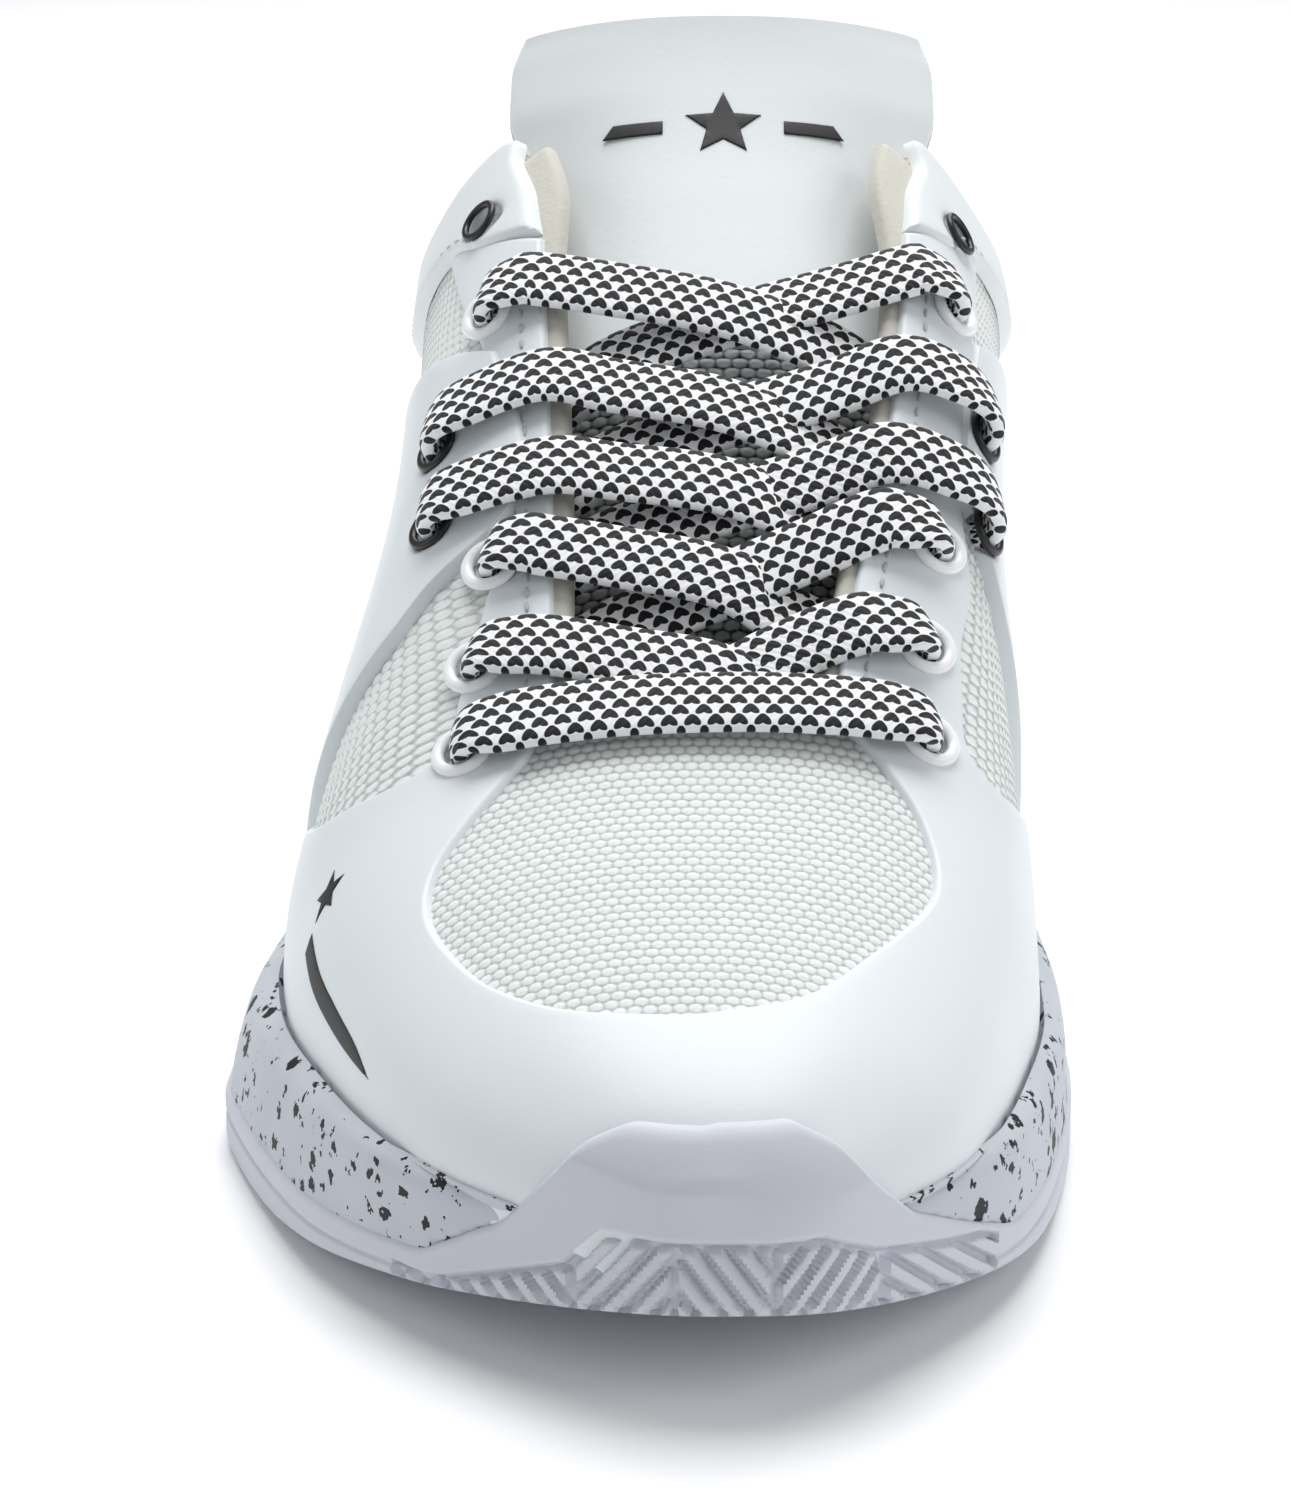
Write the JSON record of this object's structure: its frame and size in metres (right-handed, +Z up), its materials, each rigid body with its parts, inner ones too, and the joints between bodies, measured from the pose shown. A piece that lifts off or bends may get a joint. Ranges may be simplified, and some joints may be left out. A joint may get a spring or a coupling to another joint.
{
  "type": "cheer shoe",
  "caption": "Low-cut white cheer shoe with mesh windows, film overlays, speckled midsole, rubber toe bumper and flat lacing over a padded tongue.",
  "frame": {"origin": "centre of the outsole's plan box, on the ground", "axes": "+Z up, toe towards -Y, heel towards +Y, outer side of the right foot towards -X"},
  "size_m": [0.1084, 0.272, 0.1294],
  "materials": {
    "outsole_rubber": "matte moulded rubber",
    "midsole_foam": "speckled moulded foam",
    "board_fibre": "matt",
    "mesh_cloth": "knitted mesh",
    "film_white": "satin film",
    "backing_foam": "soft foam with cloth",
    "stiffener": "matt",
    "lining_cloth": "mesh lining",
    "eyelet_white": "gloss",
    "eyelet_black": "satin",
    "lace_braid": "flat braid, black and white",
    "lace_tip": "satin",
    "sock_foam": "foam",
    "sock_cloth": "knitted cloth"
  },
  "bodies": {
    "shoe": {"outsole": "outsole_rubber", "midsole": "midsole_foam", "lasting_board": "board_fibre", "mesh_upper": "mesh_cloth", "toe_overlay": "film_white", "heel_panel": "film_white", "lateral_strap": "film_white", "medial_strap": "film_white", "lateral_collar_panel": "film_white", "medial_collar_panel": "film_white", "lateral_eyestay_backing": "backing_foam", "medial_eyestay_backing": "backing_foam", "toe_puff": "stiffener", "heel_counter": "stiffener", "collar_padding": "backing_foam", "collar_lining": "lining_cloth", "lateral_white_eyelets": "eyelet_white", "medial_white_eyelets": "eyelet_white", "lateral_strap_eyelets": "eyelet_black", "medial_strap_eyelets": "eyelet_black", "top_eyelet_lateral": "eyelet_black", "top_eyelet_medial": "eyelet_black", "lace": "lace_braid", "lace_tips": "lace_tip"},
    "tongue": {"tongue_mesh_face": "mesh_cloth", "tongue_foam": "backing_foam", "tongue_lining": "lining_cloth"},
    "tongue_tip": {"tongue_tip_cover": "film_white", "tongue_tip_foam": "backing_foam", "tongue_tip_lining": "lining_cloth"},
    "sockliner": {"sockliner_foam": "sock_foam", "sockliner_cloth": "sock_cloth"}
  },
  "joints": [
    {"name": "tongue_swing", "type": "hinge", "parent": "shoe", "child": "tongue", "pos_m": [0.005, -0.0565, 0.045], "axis": [1, 0, 0], "range_deg": [-9, 0], "stiffness_Nm_per_rad": 0.5},
    {"name": "tongue_tip_fold", "type": "hinge", "parent": "tongue", "child": "tongue_tip", "pos_m": [0.01, 0.0246, 0.1045], "axis": [1, 0, 0], "range_deg": [-20, 25], "stiffness_Nm_per_rad": 0.2},
    {"name": "sockliner_lift", "type": "hinge", "parent": "shoe", "child": "sockliner", "pos_m": [0.007, -0.127, 0.0219], "axis": [1, 0, 0], "range_deg": [0, 4]}
  ]
}
